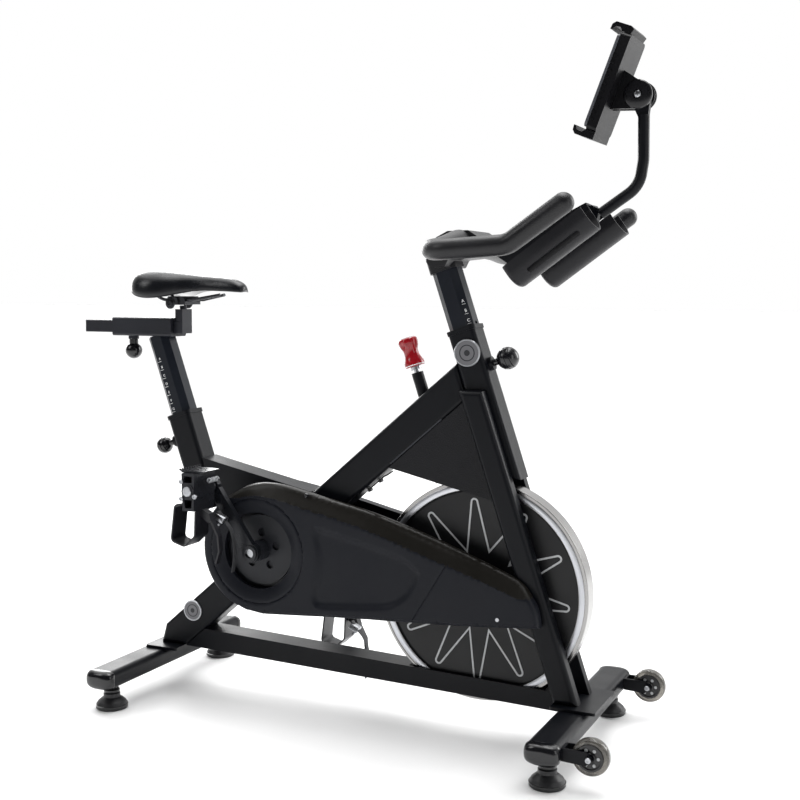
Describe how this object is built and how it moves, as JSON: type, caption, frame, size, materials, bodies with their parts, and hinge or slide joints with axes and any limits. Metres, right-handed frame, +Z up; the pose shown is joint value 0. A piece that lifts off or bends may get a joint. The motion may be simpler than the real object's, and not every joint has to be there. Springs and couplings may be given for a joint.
{
  "type": "indoor spin bike",
  "caption": "Indoor spin bike with a welded tube frame, front flywheel under a plastic guard, sliding saddle and handlebar posts, clip pedals, dumbbell cradles and a tablet holder.",
  "frame": {"origin": "centre of the bounding box at floor level", "axes": "+X forward, towards the front stabiliser and the transport wheels; +Y to the rider's left; +Z up"},
  "size_m": [1.3282, 0.5292, 1.4108],
  "materials": {
    "powder_black": "satin black powder coat",
    "post_grey": "satin dark grey",
    "guard_black": "matte moulded plastic",
    "cap_black": "glossy black plastic",
    "bar_rubber": "matte black rubber",
    "saddle_vinyl": "smooth black vinyl",
    "steel": "brushed steel",
    "rim_steel": "machined and polished",
    "disc_black": "black painted cast aluminium",
    "crank_black": "satin black aluminium",
    "pedal_metal": "dark anodised aluminium",
    "cage_black": "black nylon",
    "cap_red": "glossy red plastic",
    "badge_silver": "satin silver",
    "wheel_clear": "clear polyurethane",
    "foot_rubber": "dark grey rubber",
    "holder_grey": "grey plastic",
    "pad_black": "black plastic"
  },
  "bodies": {
    "frame": {"seat_tube": "powder_black", "main_tube": "powder_black", "upper_beam": "powder_black", "head_tube": "powder_black", "fork_leg_right": "powder_black", "fork_leg_left": "powder_black", "gusset": "powder_black", "bottom_beam": "powder_black", "rear_stabiliser": "powder_black", "front_stabiliser": "powder_black", "bar_caps": "cap_black", "wheel_brackets": "powder_black", "axle_plates": "powder_black", "flywheel_axle": "steel", "bearing_shell": "steel", "guard_right": "guard_black", "guard_inner": "guard_black", "guard_left": "guard_black", "drive_belt": "bar_rubber", "badges": "badge_silver", "brake_sleeve": "powder_black", "sensor_cable": "bar_rubber"},
    "seat_post_unit": {"seat_post": "post_grey", "slider_sleeve": "powder_black"},
    "slider_knob_unit": {"slider_knob": "cap_black"},
    "slider_unit": {"saddle_slider": "post_grey"},
    "saddle_unit": {"saddle_cushion": "saddle_vinyl", "saddle_shell": "cap_black", "saddle_rails": "steel"},
    "seat_pin_unit": {"seat_pin": "cap_black"},
    "head_pin_unit": {"head_pin": "cap_black"},
    "bar_unit": {"bar_post": "post_grey", "bar_hub": "bar_rubber", "handlebar": "bar_rubber", "cradle_spine": "powder_black", "cradle_right": "guard_black", "cradle_left": "guard_black", "tablet_arm": "powder_black"},
    "holder_unit": {"holder_frame": "holder_grey", "holder_pad": "pad_black"},
    "jaw_unit": {"holder_jaw": "pad_black"},
    "brake_unit": {"brake_rod": "steel", "brake_pad": "bar_rubber"},
    "brake_cap_unit": {"brake_cap": "cap_red"},
    "flywheel": {"flywheel_disc": "disc_black", "flywheel_rim": "rim_steel"},
    "crankset": {"crank_axle": "steel", "chain_wheel": "crank_black", "crank_right": "crank_black", "crank_left": "crank_black"},
    "pedal_right_unit": {"pedal_right": "pedal_metal", "toe_cage_right": "cage_black"},
    "pedal_left_unit": {"pedal_left": "pedal_metal", "toe_cage_left": "cage_black"},
    "wheel_right_unit": {"transport_wheel_right": "wheel_clear"},
    "wheel_left_unit": {"transport_wheel_left": "wheel_clear"},
    "foot_rear_right_unit": {"foot_rear_right": "foot_rubber"},
    "foot_rear_left_unit": {"foot_rear_left": "foot_rubber"},
    "foot_front_right_unit": {"foot_front_right": "foot_rubber"},
    "foot_front_left_unit": {"foot_front_left": "foot_rubber"}
  },
  "joints": [
    {"name": "seat_height", "type": "slide", "parent": "frame", "child": "seat_post_unit", "axis": [-0.3277, 0, 0.9448], "range_m": [-0.15, 0.08]},
    {"name": "saddle_fore_aft", "type": "slide", "parent": "seat_post_unit", "child": "slider_unit", "axis": [1, 0, 0], "range_m": [-0.004, 0.06]},
    {"name": "saddle_tilt", "type": "hinge", "parent": "slider_unit", "child": "saddle_unit", "pos_m": [-0.4021, 0, 0.8865], "axis": [0, 1, 0], "range_deg": [-10, 10]},
    {"name": "slider_knob_turn", "type": "hinge", "parent": "seat_post_unit", "child": "slider_knob_unit", "pos_m": [-0.5411, 0, 0.79], "axis": [0, 0, 1], "range_deg": [-180, 180]},
    {"name": "seat_pin_pull", "type": "slide", "parent": "frame", "child": "seat_pin_unit", "axis": [-0.9448, 0, -0.3277], "range_m": [0, 0.012], "stiffness_N_per_m": 1500, "springref_m": -0.006},
    {"name": "head_pin_pull", "type": "slide", "parent": "frame", "child": "head_pin_unit", "axis": [0.9472, 0, 0.3206], "range_m": [0, 0.012], "stiffness_N_per_m": 1500, "springref_m": -0.006},
    {"name": "bar_height", "type": "slide", "parent": "frame", "child": "bar_unit", "axis": [-0.3206, 0, 0.9472], "range_m": [-0.1, 0.05]},
    {"name": "tablet_tilt", "type": "hinge", "parent": "bar_unit", "child": "holder_unit", "pos_m": [0.6379, 0, 1.28], "axis": [0, 1, 0], "range_deg": [-15, 15]},
    {"name": "jaw_slide", "type": "slide", "parent": "holder_unit", "child": "jaw_unit", "axis": [0.3579, 0, 0.9338], "range_m": [0, 0.03], "stiffness_N_per_m": 300, "springref_m": -0.01},
    {"name": "brake_press", "type": "slide", "parent": "frame", "child": "brake_unit", "axis": [0.3206, 0, -0.9472], "range_m": [0, 0.004], "stiffness_N_per_m": 6000, "springref_m": -0.004},
    {"name": "brake_turn", "type": "hinge", "parent": "brake_unit", "child": "brake_cap_unit", "pos_m": [0.1763, 0, 0.754], "axis": [-0.3206, 0, 0.9472], "continuous": true},
    {"name": "flywheel_spin", "type": "hinge", "parent": "frame", "child": "flywheel", "pos_m": [0.3319, 0, 0.3], "axis": [0, 1, 0], "continuous": true},
    {"name": "crank_spin", "type": "hinge", "parent": "frame", "child": "crankset", "pos_m": [-0.1621, 0, 0.348], "axis": [0, 1, 0], "continuous": true},
    {"name": "pedal_right_spin", "type": "hinge", "parent": "crankset", "child": "pedal_right_unit", "pos_m": [-0.25716, -0.158, 0.48894], "axis": [0, 1, 0], "continuous": true},
    {"name": "pedal_left_spin", "type": "hinge", "parent": "crankset", "child": "pedal_left_unit", "pos_m": [-0.06704, 0.158, 0.20706], "axis": [0, 1, 0], "continuous": true},
    {"name": "wheel_right_spin", "type": "hinge", "parent": "frame", "child": "wheel_right_unit", "pos_m": [0.6291, -0.2232, 0.0711], "axis": [0, 1, 0], "continuous": true},
    {"name": "wheel_left_spin", "type": "hinge", "parent": "frame", "child": "wheel_left_unit", "pos_m": [0.6291, 0.2232, 0.0711], "axis": [0, 1, 0], "continuous": true},
    {"name": "foot_rear_right_turn", "type": "hinge", "parent": "frame", "child": "foot_rear_right_unit", "pos_m": [-0.4521, -0.215, 0.03], "axis": [0, 0, 1], "continuous": true},
    {"name": "foot_rear_left_turn", "type": "hinge", "parent": "frame", "child": "foot_rear_left_unit", "pos_m": [-0.4521, 0.215, 0.03], "axis": [0, 0, 1], "continuous": true},
    {"name": "foot_front_right_turn", "type": "hinge", "parent": "frame", "child": "foot_front_right_unit", "pos_m": [0.5448, -0.218, 0.03], "axis": [0, 0, 1], "continuous": true},
    {"name": "foot_front_left_turn", "type": "hinge", "parent": "frame", "child": "foot_front_left_unit", "pos_m": [0.5448, 0.218, 0.03], "axis": [0, 0, 1], "continuous": true}
  ],
  "couplings": [
    {"joint": "crank_spin", "follows": "flywheel_spin", "ratio": 0.26923}
  ]
}
